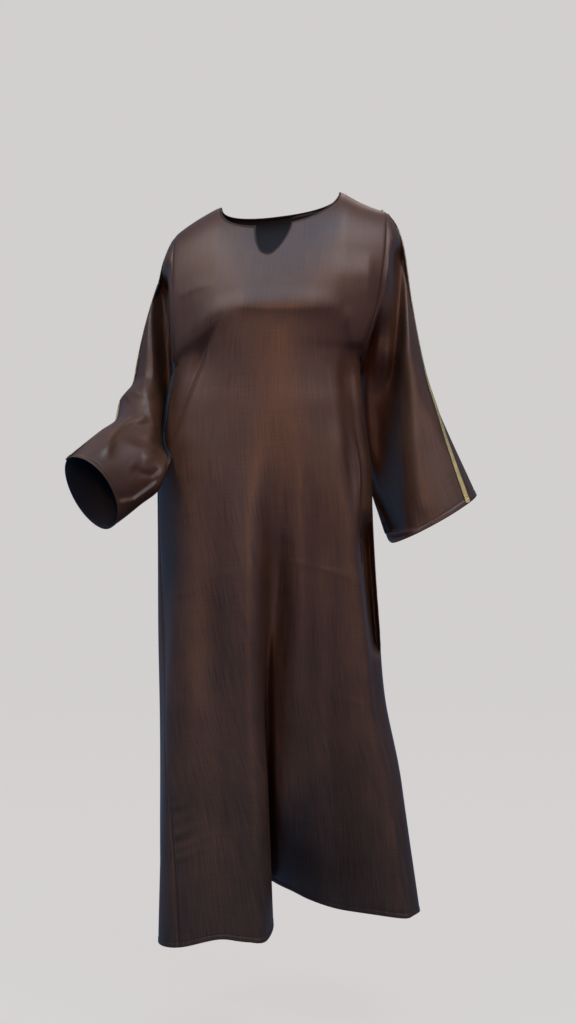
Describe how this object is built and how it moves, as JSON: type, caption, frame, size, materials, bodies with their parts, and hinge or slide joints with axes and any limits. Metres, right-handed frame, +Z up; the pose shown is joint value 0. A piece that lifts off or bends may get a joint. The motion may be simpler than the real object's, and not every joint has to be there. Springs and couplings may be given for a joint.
{
  "type": "abaya",
  "caption": "Ankle-length loose gown with a round notched neckline, wide straight sleeves and braid along them, standing open as worn with one arm bent forward.",
  "frame": {"origin": "on the shoulder line midway between the two neck points, where the gown hangs on its wearer", "axes": "+Z up, the front faces -Y, +X towards the hanging sleeve"},
  "size_m": [0.7042, 0.3823, 1.3006],
  "materials": {
    "brown_crepe": "satin",
    "dark_binding": "matte",
    "gold_braid": "metallic thread"
  },
  "bodies": {
    "root": {"front_panel": "brown_crepe", "back_panel": "brown_crepe", "sleeve_right": "brown_crepe", "sleeve_left": "brown_crepe", "sleeve_ribbon_right": "gold_braid", "sleeve_ribbon_left": "gold_braid", "neck_binding": "dark_binding"}
  },
  "joints": []
}
